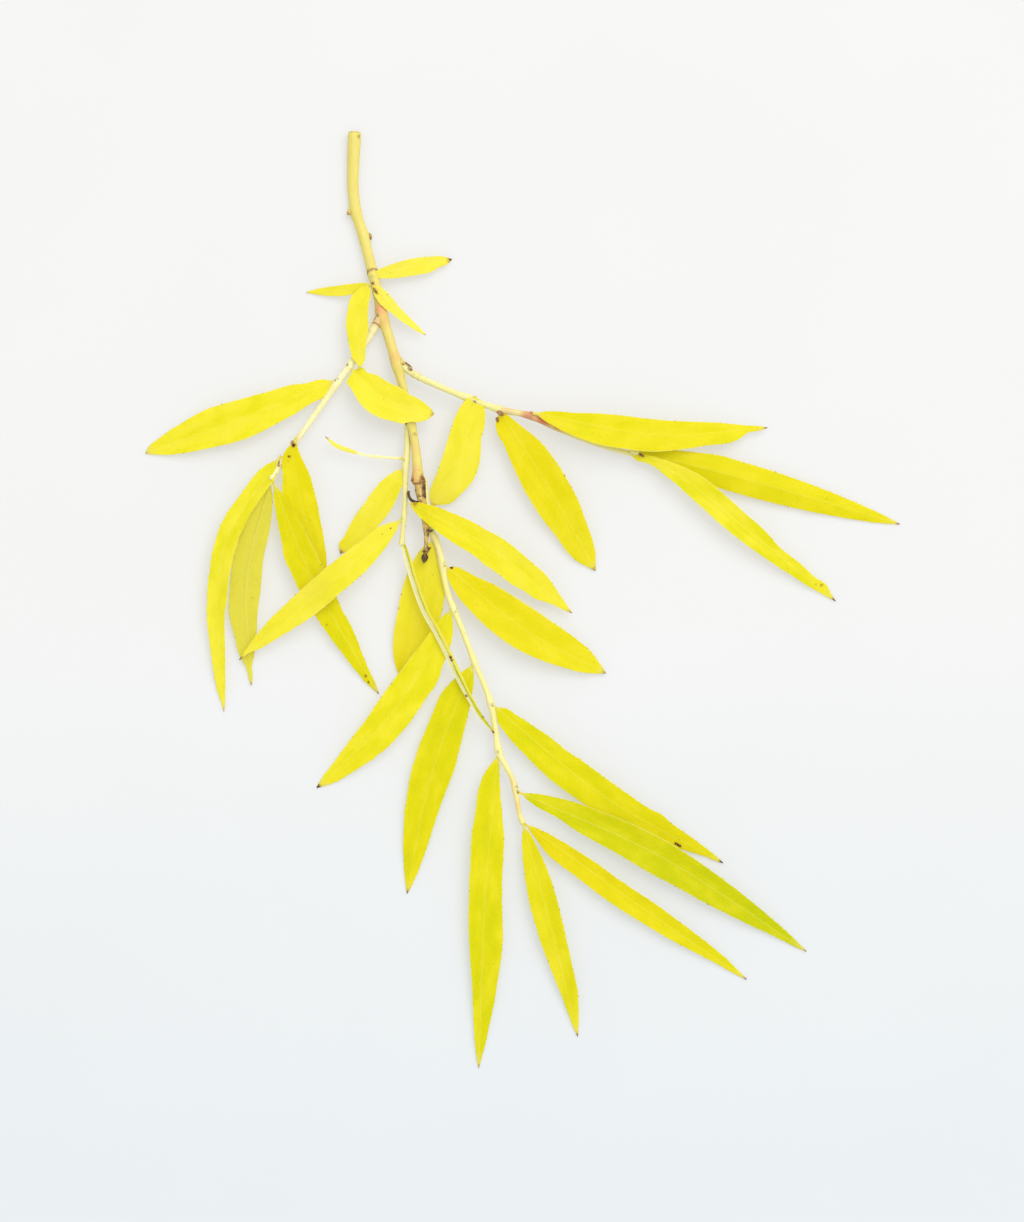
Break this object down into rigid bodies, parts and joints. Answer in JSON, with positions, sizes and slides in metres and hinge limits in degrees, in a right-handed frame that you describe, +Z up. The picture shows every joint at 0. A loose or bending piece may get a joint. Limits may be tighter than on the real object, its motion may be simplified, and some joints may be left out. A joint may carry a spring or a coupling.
{
  "type": "willow branch",
  "caption": "Cut willow twig lying flat: a bent main stem with a withered end, side shoots and long toothed yellow autumn leaves.",
  "frame": {"origin": "under the middle of the branch's box, on the surface that it lies on", "axes": "+Z up from the surface, +Y along the main stem towards its cut end, +X to the right of it seen from above"},
  "size_m": [0.2723, 0.3373, 0.0109],
  "materials": {
    "lemon_leaf": "satin",
    "green_tinged_leaf": "satin",
    "golden_leaf": "satin",
    "pale_leaf_underside": "satin",
    "straw_bark": "satin",
    "rosy_bark": "satin",
    "withered_bark": "matte"
  },
  "bodies": {
    "root": {"main_stem": "straw_bark", "lower_shoot": "straw_bark", "left_shoot": "rosy_bark", "middle_shoot": "rosy_bark", "right_shoot": "rosy_bark", "withered_tip": "withered_bark", "leaf_top_1": "lemon_leaf", "leaf_top_2": "lemon_leaf", "leaf_top_3": "lemon_leaf", "leaf_top_4": "lemon_leaf", "leaf_left_1": "lemon_leaf", "leaf_left_2": "lemon_leaf", "leaf_middle_1": "lemon_leaf", "leaf_middle_2": "lemon_leaf", "leaf_middle_3": "lemon_leaf", "leaf_middle_4": "lemon_leaf", "leaf_right_1": "lemon_leaf", "leaf_right_3": "lemon_leaf", "leaf_right_4": "lemon_leaf", "leaf_right_5": "lemon_leaf", "leaf_lower_1": "lemon_leaf", "leaf_lower_3": "lemon_leaf", "leaf_left_3": "green_tinged_leaf", "leaf_left_4": "green_tinged_leaf", "leaf_left_5": "green_tinged_leaf", "leaf_lower_4": "green_tinged_leaf", "leaf_lower_6": "green_tinged_leaf", "leaf_lower_7": "green_tinged_leaf", "leaf_lower_8": "green_tinged_leaf", "leaf_right_2": "golden_leaf", "leaf_lower_2": "golden_leaf", "leaf_lower_5": "golden_leaf", "leaf_lower_9": "golden_leaf", "leaf_lower_10": "golden_leaf", "leaf_left_6": "pale_leaf_underside"}
  },
  "joints": []
}
